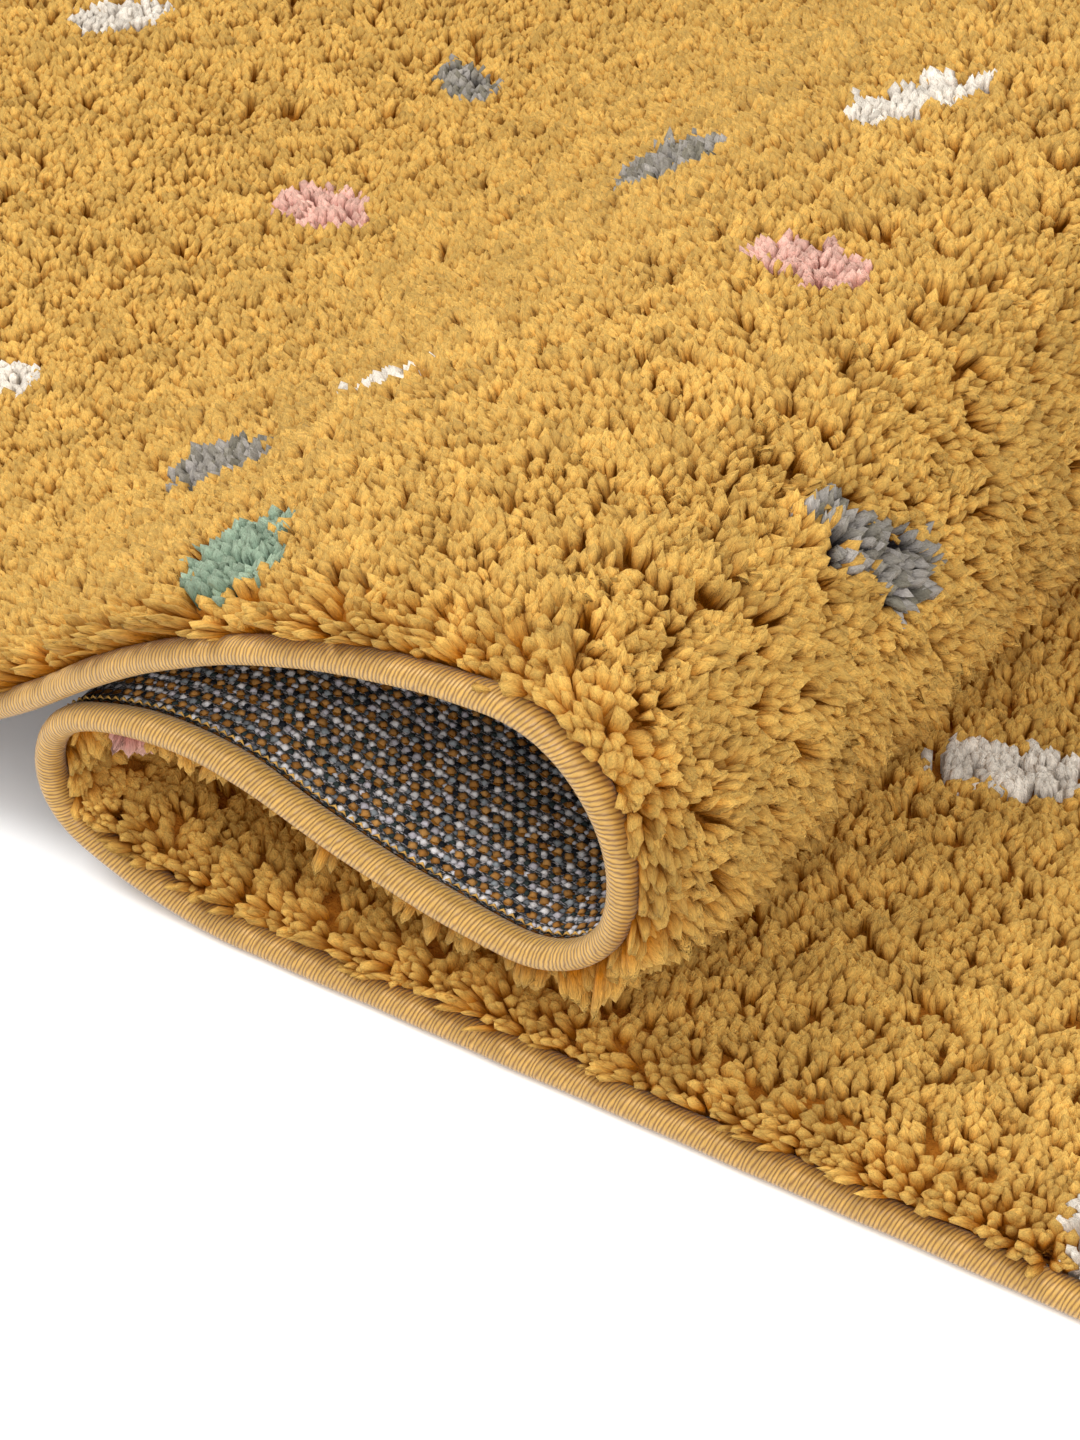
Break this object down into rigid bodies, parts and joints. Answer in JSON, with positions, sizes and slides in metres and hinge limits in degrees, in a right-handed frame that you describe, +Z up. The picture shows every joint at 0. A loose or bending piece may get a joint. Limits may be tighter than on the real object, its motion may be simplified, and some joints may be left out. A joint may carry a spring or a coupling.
{
  "type": "folded shag rug with bound edge",
  "caption": "Small deep-pile shag rug lying in an S fold, its woven back showing inside the upper fold and a wound yarn binding round its edge.",
  "frame": {"origin": "on the floor, under the middle of the rug's box", "axes": "+X along the rug's cut length towards the free end of the bottom layer, +Y along the fold lines away from the near edge, +Z up"},
  "size_m": [0.6682, 0.6, 0.1267],
  "materials": {
    "backing_cloth": "coarse mixed weave of mustard, white and dark grey yarns",
    "pile_yarn": "soft matte cut pile in mustard with scattered small dots",
    "binding_yarn": "satin sand-coloured yarn wound over the edge"
  },
  "bodies": {
    "root": {"woven_backing": "backing_cloth", "shag_pile": "pile_yarn", "edge_binding": "binding_yarn"}
  },
  "joints": []
}
